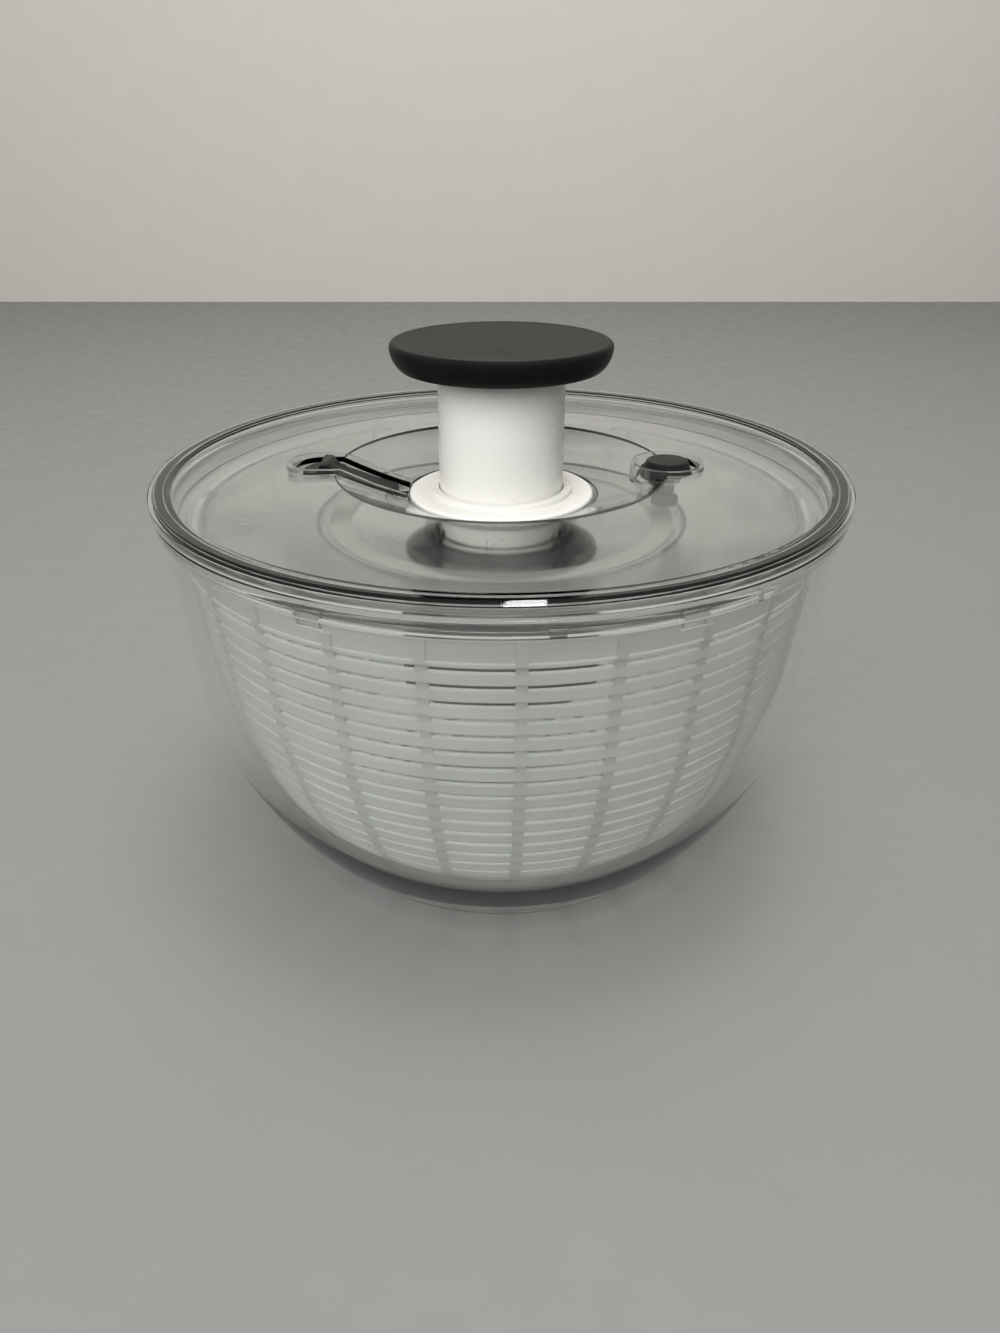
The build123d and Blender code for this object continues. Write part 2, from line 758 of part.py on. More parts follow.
# ---- lock slider: thumb pad, arm down the dish and a tongue under the collar ----
tongue_tip_x = -tube_radius - tongue_rest_gap
arm_end_x = throat_x - lock_travel - seat_gap
arm_low_x = tray_foot_x + 0.3
arm_low_z = tray_foot_z + seat_gap
with BuildPart() as lock_slider:
    with BuildSketch(Plane.XZ):
        with BuildLine():
            Polyline(
                (thumb_tip_x, lock_floor_z + seat_gap),
                (tray_knee_x - 0.3, lock_floor_z + seat_gap),
                (arm_low_x, arm_low_z),
                (arm_end_x - 1.2, tongue_bottom),
                (tongue_tip_x, tongue_bottom),
                (tongue_tip_x, tongue_top),
                (arm_end_x, tongue_top),
                (arm_end_x, dish_low_z + 1.1),
                (arm_end_x - 8, dish_low_z + 3.6),
                (arm_end_x - 16, dish_low_z + 6.6),
                (lock_thumb_x - 3, lock_floor_z + 3.1),
                (lock_thumb_x - 5.2, lock_rim_z + 0.5),
                (lock_thumb_x - 8.4, lock_rim_z + 0.7),
                (lock_thumb_x - 10, lock_floor_z + 3.5),
                (thumb_tip_x, lock_floor_z + 2.6),
                close=True,
            )
        make_face()
    extrude(amount=lock_thumb_half, both=True)
    with BuildSketch(Plane.XY.offset(slot_low)):
        with Locations((thumb_tip_x + lock_thumb_half, 0)):
            Circle(lock_thumb_half)
        with Locations(((thumb_tip_x + lock_thumb_half + lock_thumb_x) / 2, 0)):
            Rectangle(lock_thumb_x - thumb_tip_x - lock_thumb_half, 2 * lock_thumb_half)
        with Locations(((lock_thumb_x + arm_end_x) / 2, 0)):
            Rectangle(arm_end_x - lock_thumb_x, 2 * lock_arm_half)
        with Locations(((arm_end_x + tongue_tip_x) / 2, 0)):
            Rectangle(tongue_tip_x - arm_end_x, 2 * tongue_half)
    extrude(amount=lid_top_z, mode=Mode.INTERSECT)
save(lock_slider.part, "lock_slider")

# ---- brake: sprung button with a stem and a rubber pad over the track ----
button_low = pocket_floor_z + brake_travel + seat_gap + 0.1
button_top = button_low + button_height
button_room = button_top - button_wall
button_top_radius = button_radius - button_taper
pad_low = track_top + brake_travel + seat_gap
stem_low = pad_low + pad_socket
brake_axis = Axis((brake_x, 0, 0), (0, 0, 1))
with BuildPart() as brake_button:
    with BuildSketch(Plane.XZ):
        with BuildLine():
            Polyline(
                (brake_x, stem_low),
                (brake_x + stem_radius, stem_low),
                (brake_x + stem_radius, button_room),
                (brake_x + button_top_radius - button_wall, button_room),
                (brake_x + button_radius - button_wall, button_low),
                (brake_x + button_radius, button_low),
                (brake_x + button_radius, button_low + 0.7),
                (brake_x + button_top_radius + 0.3, button_top - 0.4),
                (brake_x + button_top_radius - 0.2, button_top),
                (brake_x, button_top - 0.4),
                close=True,
            )
        make_face()
    revolve(axis=brake_axis)
save(brake_button.part, "brake_button")

with BuildPart() as brake_pad:
    with BuildSketch(Plane.XY.offset(pad_low)):
        with Locations((brake_x, 0)):
            Circle(pad_radius)
    extrude(amount=pad_depth)
    with BuildSketch(Plane.XY.offset(stem_low)):
        with Locations((brake_x, 0)):
            Circle(stem_radius)
    extrude(amount=pad_depth, mode=Mode.SUBTRACT)
save(brake_pad.part, "brake_pad")

brake_spring = coil(brake_spring_radius, brake_wire, pocket_floor_z, button_room, brake_turns)
save(Pos(brake_x, 0, 0) * brake_spring, "brake_spring")
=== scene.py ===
"""Salad spinner: clear bowl and lid, slotted basket, press-down knob, lock and brake."""

from math import cos, pi, radians, sin

import bmesh
import bpy
import numpy as np
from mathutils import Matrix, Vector
from bpy.props import FloatProperty, FloatVectorProperty, IntProperty, PointerProperty


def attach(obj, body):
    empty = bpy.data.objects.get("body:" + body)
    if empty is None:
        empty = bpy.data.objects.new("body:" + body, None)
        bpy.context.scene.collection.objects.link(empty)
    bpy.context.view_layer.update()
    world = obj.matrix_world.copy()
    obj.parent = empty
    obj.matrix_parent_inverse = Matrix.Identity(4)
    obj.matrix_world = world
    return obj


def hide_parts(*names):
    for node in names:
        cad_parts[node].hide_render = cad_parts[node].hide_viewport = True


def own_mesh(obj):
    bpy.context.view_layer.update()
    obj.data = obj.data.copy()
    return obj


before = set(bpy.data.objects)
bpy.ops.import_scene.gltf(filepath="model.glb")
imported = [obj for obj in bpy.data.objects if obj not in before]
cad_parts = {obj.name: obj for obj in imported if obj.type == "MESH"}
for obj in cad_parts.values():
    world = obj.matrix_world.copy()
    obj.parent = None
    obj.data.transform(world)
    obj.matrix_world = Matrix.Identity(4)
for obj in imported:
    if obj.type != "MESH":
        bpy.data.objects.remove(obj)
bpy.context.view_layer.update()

bl_info = {
    "name": "Salad spinner",
    "version": (1, 0, 0),
    "blender": (4, 5, 0),
    "location": "3D View > Sidebar > Spinner",
    "description": "Builds the pieces and finishes of a pump salad spinner on its packed frame",
    "category": "Add Mesh",
}

MM = 0.001
TURN = 2 * pi
SHARP_ANGLE = radians(35.0)  # faces that meet at more than this keep a crisp edge
ARC_SHARE = 0.48  # the most of a side that one rounded corner may take
NEARLY_STRAIGHT = 1.55  # half angle past which a corner is left as it is

# Radii and heights in millimetres from the middle of the foot; a pair is (radius, height).
BELLY = (111.4, 35.5)
SHOULDER = (125.2, 78.0)
RIM_RADIUS = 132.7
RIM_SEAT = 146.2
BOWL_TOP = 150.0
BASKET_TOP = 140.0
BASKET_WALL_FOOT = 18.0
BASKET_FLOOR = (12.0, 14.2)
FIRST_RIB = 3.0  # azimuth in degrees
RIB_WIDTH = 3.7
KNOB_TOP = 202.7
KNOB_UNDER = 193.0
KNOB_CORE = 37.6
LUGS = 6  # of the turntable, each in a notch of the basket's rim
BUTTON_REACH = 65.4  # from the middle of the lid to the brake button

# The camera: its lens and film in millimetres, and how far it looks below the level in radians.
LENS = 27.0
FILM_HEIGHT = 36.0
CAMERA_DIP = 0.4928

CLEAR_NODES = ("plug_ring", "hub_tube", "lid_top")
HAZY_NODES = ("turntable", "turntable_bearing")
DRIVE_NODES = ("clutch_ring", "clutch_driver", "thrust_washer", "drive_screw", "drive_nut")


# ---------------------------------------------------------------- shapes


def arc3(start, middle, end, steps):
    """Points on the circle through three points: its centre is where the bisectors cross."""
    a, b, c = (np.array(p, float) for p in (start, middle, end))
    lhs = 2 * np.array([b - a, c - a])
    rhs = np.array([b @ b - a @ a, c @ c - a @ a])
    centre = np.linalg.solve(lhs, rhs)
    angles = [np.arctan2(*(p - centre)[::-1]) for p in (a, b, c)]
    first, middle_angle, last = angles[0], *np.unwrap(angles)[1:]
    if (middle_angle - first) * (last - middle_angle) < 0:
        last += TURN if middle_angle > first else -TURN
    t = np.linspace(first, last, steps)
    radius = np.linalg.norm(a - centre)
    return centre + radius * np.column_stack([np.cos(t), np.sin(t)])


def rounded(corners, radius, steps=5):
    """A closed outline whose corners are replaced by arcs.

    corners holds (r, z) points, radius is one value or one per corner. Each arc is tangent to
    both sides, so it starts radius / tan(half the corner's angle) from the corner. Along it the
    start, the corner and the end are averaged with weights (1 - t)^2, 2 w t (1 - t) and t^2,
    where w is the sine of half the corner's angle, which makes the curve a true circle.
    """
    points = np.array(corners, float)
    radii = np.broadcast_to(np.array(radius, float), len(points))
    before = np.roll(points, 1, axis=0) - points
    after = np.roll(points, -1, axis=0) - points
    room = np.minimum(np.linalg.norm(before, axis=1), np.linalg.norm(after, axis=1)) * ARC_SHARE
    before /= np.linalg.norm(before, axis=1)[:, None]
    after /= np.linalg.norm(after, axis=1)[:, None]
    half = np.arccos(np.clip((before * after).sum(axis=1), -1, 1)) / 2
    cut = np.minimum(radii / np.tan(half), room)
    cut = np.where(half > NEARLY_STRAIGHT, 0, cut)
    t = np.linspace(0, 1, steps)[None, :, None]
    start = (points + before * cut[:, None])[:, None]
    corner = points[:, None]
    end = (points + after * cut[:, None])[:, None]
    pull = 2 * np.sin(half)[:, None, None] * t * (1 - t)
    curve = (start * (1 - t) ** 2 + corner * pull + end * t**2) / ((1 - t) ** 2 + pull + t**2)
    keep = np.where(cut > 1e-9, steps, 1)
    return np.concatenate([curve[i, : keep[i]] for i in range(len(points))])


def grid_faces(rows, columns, wrap_rows, wrap_columns):
    """Quads of a grid numbered row by row, joined end to end where asked."""
    i, j = np.meshgrid(
        np.arange(rows - (not wrap_rows)), np.arange(columns - (not wrap_columns)), indexing="ij"
    )
    i2, j2 = (i + 1) % rows, (j + 1) % columns
    corners = (i * columns + j, i * columns + j2, i2 * columns + j2, i2 * columns + j)
    return np.stack([c.ravel() for c in corners], axis=1)


def face_rows(faces):
    """Faces as a plain list, whether they came as an array of quads or as a mixed list."""
    return faces if isinstance(faces, list) else faces.tolist()


def mesh_object(name, points, faces):
    """A mesh from point and face arrays, in metres, with its doubles merged and normals out."""
    mesh = bpy.data.meshes.new(name)
    mesh.from_pydata(np.asarray(points).tolist(), [], face_rows(faces))
    work = bmesh.new()
    work.from_mesh(mesh)
    bmesh.ops.remove_doubles(work, verts=work.verts, dist=2e-7)
    bmesh.ops.dissolve_degenerate(work, dist=1e-7, edges=work.edges)
    bmesh.ops.recalc_face_normals(work, faces=work.faces)
    work.to_mesh(mesh)
    work.free()
    mesh.shade_smooth()
    mesh.set_sharp_from_angle(angle=SHARP_ANGLE)
    piece = bpy.data.objects.new(name, mesh)
    bpy.context.scene.collection.objects.link(piece)
    return piece


def lathe_arrays(outline, segments):
    """A closed (r, z) outline in mm turned about the upright axis: x = r cos a, y = r sin a."""
    outline = np.asarray(outline, float)
    angle = np.linspace(0, TURN, segments, endpoint=False)
    r, z = outline[:, 0][:, None], outline[:, 1][:, None]
    points = np.stack([r * np.cos(angle), r * np.sin(angle), z + 0 * angle], axis=2)
    points = points.reshape(-1, 3) * MM
    return points, grid_faces(len(outline), segments, True, True)


def lathe(name, outline, segments):
    """A solid of revolution from a closed outline."""
    return mesh_object(name, *lathe_arrays(outline, segments))


def merged(parts):
    """Several (points, faces) pairs as one pair."""
    points, faces, start = [], [], 0
    for part_points, part_faces in parts:
        points.append(part_points)
        faces += [[corner + start for corner in face] for face in face_rows(part_faces)]
        start += len(part_points)
    return np.concatenate(points), faces


def cut_away(piece, tool):
    """Takes the tool's shape out of a piece with one exact boolean and removes the tool."""
    modifier = piece.modifiers.new("cut", "BOOLEAN")
    modifier.operation = "DIFFERENCE"
    modifier.solver = "EXACT"
    modifier.object = tool
    depsgraph = bpy.context.evaluated_depsgraph_get()
    result = bpy.data.meshes.new_from_object(piece.evaluated_get(depsgraph))
    piece.modifiers.clear()
    old = piece.data
    piece.data = result
    bpy.data.meshes.remove(old)
    bpy.data.objects.remove(tool)
    result.set_sharp_from_angle(angle=SHARP_ANGLE)


def softened(name, node, width):
    """A copy of a node with its triangles merged and its edges rounded by a bevel in mm."""
    work = bmesh.new()
    work.from_mesh(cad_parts[node].data)
    bmesh.ops.remove_doubles(work, verts=work.verts, dist=2e-6)
    bmesh.ops.dissolve_limit(work, angle_limit=radians(2), verts=work.verts, edges=work.edges)
    mesh = bpy.data.meshes.new(name)
    work.to_mesh(mesh)
    work.free()
    mesh.shade_smooth()
    mesh.set_sharp_from_angle(angle=SHARP_ANGLE)
    piece = bpy.data.objects.new(name, mesh)
    bpy.context.scene.collection.objects.link(piece)
    bevel = piece.modifiers.new("soft_edges", "BEVEL")
    bevel.width = width * MM
    bevel.segments = 3
    bevel.limit_method = "ANGLE"
    bevel.angle_limit = SHARP_ANGLE
    return piece


def coil_arrays(radius, wire, low, high, turns, reach=0.0, steps=40, sides=10):
    """A coil spring between two levels, its axis at x = reach.

    The wire's middle is (R cos a, R sin a) at a height that climbs evenly with a, except for half
    a turn at each end, which only makes room for the wire itself. Each round section lies in the
    plane of the radius and the axis, and its ends are closed by fans.
    """
    t = np.linspace(0, 1, turns * steps + 1)
    flat = 1.0 / turns
    climb = np.clip((t - flat / 2) / (1 - flat), 0, 1)
    rest = wire * np.minimum(t, flat / 2) + wire * np.maximum(t - 1 + flat / 2, 0)
    height = low + wire / 2 + (high - low - wire * (1 + flat)) * climb + rest
    around = t * turns * TURN
    side = np.linspace(0, TURN, sides, endpoint=False)
    out = radius + wire / 2 * np.cos(side)[None]
    x = reach + out * np.cos(around)[:, None]
    y = out * np.sin(around)[:, None]
    z = height[:, None] + wire / 2 * np.sin(side)[None]
    ends = np.array([[x[i].mean(), y[i].mean(), z[i].mean()] for i in (0, -1)])
    points = np.concatenate([np.stack([x, y, z], axis=2).reshape(-1, 3), ends]) * MM
    faces = grid_faces(len(t), sides, False, True).tolist()
    count = len(t) * sides
    last = count - sides
    for i in range(sides):
        faces.append([(i + 1) % sides, i, count])
        faces.append([last + i, last + (i + 1) % sides, count + 1])
    return points, faces


def rib_arrays(levels, outer, depth, width, turn):
    """An upright bar of rectangular section that follows radii given level by level, at one azimuth."""
    out = np.array([cos(turn), sin(turn)])
    side = np.array([-sin(turn), cos(turn)])
    ring = np.array([(0.0, -width / 2), (0.0, width / 2), (-depth, width / 2), (-depth, -width / 2)])
    flat = out * (outer[:, None, None] + ring[None, :, :1]) + side * ring[None, :, 1:]
    z = np.broadcast_to(levels[:, None, None], (*flat.shape[:2], 1))
    points = np.concatenate([flat, z], axis=2).reshape(-1, 3) * MM
    faces = grid_faces(len(levels), 4, False, True).tolist()
    last = len(points) - 4
    return points, faces + [[3, 2, 1, 0], [last, last + 1, last + 2, last + 3]]


# ---------------------------------------------------------------- finishes


class Finish:
    """One node material, built by short calls that keep their places tidy."""

    def __init__(self, name):
        self.material = bpy.data.materials.new(name)
        self.material.use_nodes = True
        self.tree = self.material.node_tree
        self.shader = self.tree.nodes["Principled BSDF"]
        self.output = self.tree.nodes["Material Output"]
        self.place = self.tree.nodes.new("ShaderNodeTexCoord").outputs["Object"]

    def node(self, kind, **values):
        """A new shader node with its sockets or settings filled in."""
        made = self.tree.nodes.new(kind)
        for key, value in values.items():
            if key in made.inputs:
                made.inputs[key].default_value = value
            else:
                setattr(made, key, value)
        return made

    def link(self, source, target):
        """Joins an output socket to an input socket."""
        self.tree.links.new(source, target)

    def set(self, **values):
        """Sets the main shader's own sockets; an underscore stands for a space."""
        for key, value in values.items():
            self.shader.inputs[key.replace("_", " ")].default_value = value

    def stretched(self, scale, turn=(0, 0, 0)):
        """Object coordinates scaled and turned, for marks that run one way."""
        mapping = self.node("ShaderNodeMapping")
        mapping.inputs["Scale"].default_value = scale
        mapping.inputs["Rotation"].default_value = turn
        self.link(self.place, mapping.inputs["Vector"])
        return mapping.outputs["Vector"]

    def noise(self, scale, detail=4.0, rough=0.55, place=None):
        """A cloudy pattern between 0 and 1."""
        made = self.node("ShaderNodeTexNoise", Scale=scale, Detail=detail, Roughness=rough)
        self.link(place or self.place, made.inputs["Vector"])
        return made.outputs["Fac"]

    def ramp(self, source, low, high, from_low=0.3, from_high=0.7):
        """A pattern stretched from its own span to the span low to high."""
        made = self.node("ShaderNodeMapRange")
        made.inputs["From Min"].default_value = from_low
        made.inputs["From Max"].default_value = from_high
        made.inputs["To Min"].default_value = low
        made.inputs["To Max"].default_value = high
        self.link(source, made.inputs["Value"])
        return made.outputs["Result"]

    def colours(self, source, first, second, low=0.35, high=0.65):
        """A pattern turned into a blend of two colours."""
        made = self.node("ShaderNodeValToRGB")
        made.color_ramp.elements[0].position = low
        made.color_ramp.elements[0].color = (*first, 1)
        made.color_ramp.elements[1].position = high
        made.color_ramp.elements[1].color = (*second, 1)
        self.link(source, made.inputs["Fac"])
        return made.outputs["Color"]

    def bump(self, source, strength, distance, after=None):
        """Fine relief from a pattern, laid over an earlier relief if there is one."""
        made = self.node("ShaderNodeBump", Strength=strength, Distance=distance)
        self.link(source, made.inputs["Height"])
        if after:
            self.link(after, made.inputs["Normal"])
        self.link(made.outputs["Normal"], self.shader.inputs["Normal"])
        return made.outputs["Normal"]

    def mix_shader(self, share, first, second):
        """Two shaders mixed by a number or by a socket."""
        made = self.node("ShaderNodeMixShader")
        if isinstance(share, float):
            made.inputs[0].default_value = share
        else:
            self.link(share, made.inputs[0])
        self.link(first, made.inputs[1])
        self.link(second, made.inputs[2])
        return made.outputs[0]

    def finish(self, surface):
        """Sends the surface to the output and gives back the material."""
        self.link(surface, self.output.inputs["Surface"])
        return self.material


def toned(colour, share):
    """A colour made lighter or darker."""
    return tuple(value * share for value in colour)


def see_through_shadow(f, surface, shade):
    """The finished material, whose shadow is only a faint tint of the light behind it."""
    through = f.node("ShaderNodeBsdfTransparent", Color=(*shade, 1))
    path = f.node("ShaderNodeLightPath")
    return f.finish(f.mix_shader(path.outputs["Is Shadow Ray"], surface, through.outputs[0]))


def clear_plastic(name, tint, haze, scratches):
    """Clear moulding: bending glass with handling haze, fine scratches and light shadows."""
    f = Finish(name)
    f.set(Base_Color=(*tint, 1), Transmission_Weight=1.0, IOR=1.53, Metallic=0.0)
    smudge = f.noise(scale=22, detail=5, rough=0.6)
    rough = f.ramp(smudge, haze, haze * 2.6, from_low=0.42, from_high=0.7)
    f.link(rough, f.shader.inputs["Roughness"])
    fine = f.noise(scale=260, detail=2, rough=0.7, place=f.stretched((1, 9, 3), (0.3, 0.2, 0.6)))
    wave = f.noise(scale=14, detail=2, rough=0.4)
    first = f.bump(wave, strength=0.10, distance=0.0006)
    f.bump(fine, scratches, distance=0.00006, after=first)
    return see_through_shadow(f, f.shader.outputs[0], (0.975, 0.976, 0.97))


def milky_plastic(name, colour, open_share, glow_share, rough):
    """Natural translucent moulding: part body colour, part light let through, part see-through."""
    f = Finish(name)
    cloud = f.noise(scale=35, detail=4, rough=0.5)
    tone = f.colours(cloud, toned(colour, 0.95), colour)
    f.link(tone, f.shader.inputs["Base Color"])
    f.set(IOR=1.49)
    uneven = f.ramp(f.noise(scale=90, detail=3), rough * 0.8, rough * 1.3)
    f.link(uneven, f.shader.inputs["Roughness"])
    f.bump(f.noise(scale=420, detail=3), strength=0.12, distance=0.0001)
    glow = f.node("ShaderNodeBsdfTranslucent")
    f.link(tone, glow.inputs["Color"])
    clear = f.node("ShaderNodeBsdfTransparent", Color=(0.97, 0.98, 0.98, 1))
    body = f.mix_shader(glow_share, f.shader.outputs[0], glow.outputs[0])
    seen = f.mix_shader(open_share, body, clear.outputs[0])
    return see_through_shadow(f, seen, (0.66, 0.67, 0.66))


def solid_plastic(name, dark, light, rough, bump, coat=0.0, shine=0.5):
    """Opaque moulding: two close tones, uneven gloss and a fine mould texture."""
    f = Finish(name)
    tone = f.colours(f.noise(scale=18, detail=2), dark, light, 0.2, 0.8)
    f.link(tone, f.shader.inputs["Base Color"])
    uneven = f.ramp(f.noise(scale=60, detail=4), rough * 0.8, rough * 1.25)
    f.link(uneven, f.shader.inputs["Roughness"])
    f.set(Coat_Weight=coat, Coat_Roughness=0.12, IOR=1.5, Specular_IOR_Level=shine)
    f.bump(f.noise(scale=380, detail=3), bump, distance=0.0001)
    return f.finish(f.shader.outputs[0])


def scuffed_rubber(name, dark):
    """Soft black grip with pale rubs, crossing scratches and a dry haze."""
    f = Finish(name)
    worn_tone, haze_share = (0.012, 0.012, 0.0115), 0.35
    rub = f.ramp(f.noise(scale=26, detail=6, rough=0.65), 0.0, 1.0, 0.5, 0.78)
    grain = f.noise(scale=60, detail=2, rough=0.5, place=f.stretched((0.6, 14, 1), (0, 0, 0.5)))
    across = f.ramp(grain, 0.0, 1.0, 0.62, 0.72)
    grain = f.noise(scale=60, detail=2, rough=0.5, place=f.stretched((14, 0.6, 1), (0, 0, -0.3)))
    along = f.ramp(grain, 0.0, 1.0, 0.64, 0.74)
    marks = f.node("ShaderNodeMath", operation="MAXIMUM")
    f.link(across, marks.inputs[0])
    f.link(along, marks.inputs[1])
    worn = f.node("ShaderNodeMath", operation="MULTIPLY")
    f.link(rub, worn.inputs[0])
    f.link(marks.outputs[0], worn.inputs[1])
    total = f.node("ShaderNodeMath", operation="MULTIPLY_ADD")
    f.link(rub, total.inputs[0])
    total.inputs[1].default_value = haze_share
    f.link(worn.outputs[0], total.inputs[2])
    tone = f.colours(total.outputs[0], tuple(dark), worn_tone, 0.0, 1.0)
    f.link(tone, f.shader.inputs["Base Color"])
    f.link(f.ramp(total.outputs[0], 0.42, 0.62, 0.0, 1.0), f.shader.inputs["Roughness"])
    f.set(IOR=1.48, Specular_IOR_Level=0.1)
    f.bump(f.noise(scale=500, detail=3), strength=0.18, distance=0.0001)
    return f.finish(f.shader.outputs[0])


# ---------------------------------------------------------------- sizes


class SpinnerSizes(bpy.types.PropertyGroup):
    """Sizes in millimetres that the frame's pieces share."""

    foot: FloatProperty(name="Foot radius", description="Radius of the bowl's foot", default=86.0)
    mouth: FloatProperty(name="Mouth radius", description="Outer radius of the bowl's mouth", default=131.2)
    wall: FloatProperty(name="Bowl wall", description="Thickness of the bowl's wall", default=2.4)
    slats: IntProperty(name="Slats", description="Rows of slats in the basket's wall", default=17)
    ribs: IntProperty(name="Ribs", description="Upright ribs of the basket", default=24)
    pitch: FloatProperty(name="Slat pitch", description="Height from slat to slat", default=6.35)
    gap: FloatProperty(name="Slat gap", description="Open height between two slats", default=2.0)
    rim_band: FloatProperty(
        name="Rim band", description="Height from the basket's top down to its highest gap", default=12.4
    )
    knob: FloatProperty(name="Knob radius", description="Widest radius of the knob", default=41.9)
    stroke: FloatProperty(name="Stroke", description="Travel of the knob", default=44.0)
    button_travel: FloatProperty(name="Button travel", description="Travel of the brake", default=4.0)
    camera_height: FloatProperty(
        name="Camera height", description="Height of the lens above the table", default=0.27138, unit="LENGTH"
    )
    camera_back: FloatProperty(
        name="Camera distance", description="Level distance to the object", default=0.38512, unit="LENGTH"
    )


def colour(name, description, default):
    """A linear colour property."""
    return FloatVectorProperty(
        name=name, description=description, default=default, size=3, subtype="COLOR", min=0, max=1
    )


class SpinnerColours(bpy.types.PropertyGroup):
    """Linear colours of the mouldings and of the room."""

    clear: colour("Clear", "Tint of the clear mouldings", (0.985, 0.987, 0.98))
    milky: colour("Milky", "Body colour of the basket", (0.56, 0.572, 0.555))
    white: colour("White", "Tube and collar", (0.80, 0.79, 0.745))
    black: colour("Black", "Knob, lock and brake button", (0.006, 0.006, 0.006))
    floor: colour("Floor", "Table top", (0.185, 0.185, 0.179))
    wall: colour("Backdrop", "Wall behind the table", (0.52, 0.505, 0.465))


def sizes():
    """The sizes stored on the scene."""
    return bpy.context.scene.spinner_sizes


def colours():
    """The colours stored on the scene."""
    return bpy.context.scene.spinner_colours


def dress(piece, material, body=None, stands_for=None):
    """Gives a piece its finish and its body."""
    piece.data.materials.clear()
    piece.data.materials.append(material)
    if body:
        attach(piece, body)
    if stands_for:
        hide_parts(stands_for)


def dress_node(name, material):
    """Gives a CAD node a better finish and leaves its shape alone."""
    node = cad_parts[name]
    if not node.material_slots:
        node.data.materials.append(material)
    for held in node.material_slots:
        held.material = material


# ---------------------------------------------------------------- pieces


def bowl_wall_outline():
    """Outer and inner lines of the bowl's belly: one arc each, a wall's thickness apart at the top."""
    s = sizes()
    outer = arc3((s.foot + 0.6, 2.2), BELLY, SHOULDER, 40)
    inner_belly, inner_shoulder = (BELLY[0] - s.wall, BELLY[1]), (SHOULDER[0] - s.wall, SHOULDER[1])
    inner = arc3((s.foot - 5, 3.4), inner_belly, inner_shoulder, 40)
    return outer, inner


class SPINNER_OT_bowl(bpy.types.Operator):
    """Clear bowl: turned outline with a foot ring, a rolled rim and a centre pin"""

    bl_idname = "spinner.bowl"
    bl_label = "Bowl"

    def execute(self, context):
        s = sizes()
        outer, inner = bowl_wall_outline()
        inside = s.mouth - s.wall
        rise = [SHOULDER, (s.mouth, RIM_SEAT), (RIM_RADIUS, RIM_SEAT), (RIM_RADIUS, BOWL_TOP)]
        fall = [(inside, BOWL_TOP), (inside, RIM_SEAT), (SHOULDER[0] - s.wall, SHOULDER[1])]
        rim = rounded(rise + fall, [0, 0.25, 0.9, 1.2, 0.9, 2, 0])[1:-1]
        foot = [
            (0, 1.4), (74.0, 1.4), (76.5, 1.1), (77.5, 0.4), (78.5, 0.0),
            (84.6, 0.0), (85.8, 0.5), (86.2, 1.3),
        ]
        floor = [(78, 2.7), (9.5, 2.6)]
        pin = [
            (8.4, 3.4), (7.6, 4.6), (6.4, 5.2), (4.6, 5.6), (4.0, 6.6),
            (4.0, 15.4), (3.4, 16.4), (2.2, 16.9), (0, 17.0),
        ]
        outline = np.concatenate([foot, outer, rim, inner[::-1], floor, pin])
        piece = lathe("bowl_clear", outline, 256)
        clear = clear_plastic("clear_bowl", colours().clear, haze=0.015, scratches=0.02)
        dress(piece, clear, "bowl", "bowl")
        return {"FINISHED"}


def basket_radius(z):
    """Outer radius of the basket's wall: a corner arc, a belly arc and a straight taper above."""
    corner = arc3((83.0, 17.0), (91.5, 22.5), (98.7, 32.0), 30)
    belly = arc3((98.7, 32.0), (107.2, 54.5), (114.6, 82.0), 40)[1:]
    line = np.concatenate([corner, belly, [(120.0, BASKET_TOP)]])
    return np.interp(z, line[:, 1], line[:, 0])


def slat_outline(low, high, thick, lean):
    """One slat's section: a rounded band whose top leans in and whose lower edge stands out.

    At a share u of its height the face lies lean * u^1.5 inside the wall's own radius.
    """
    corner = 0.75
    z = np.linspace(low, high, 5)
    outer = basket_radius(z) - lean * ((z - low) / (high - low)) ** 1.5
    line = np.concatenate([np.column_stack([outer, z]), np.column_stack([outer - thick, z])[::-1]])
    radius = np.zeros(len(line))
    radius[[0, 4, 5, 9]] = corner
    return rounded(line, radius, 4)


def rib_turns():
    """Azimuths of the basket's upright ribs, in radians."""
    count = sizes().ribs
    return [radians(FIRST_RIB + number * 360 / count) for number in range(count)]


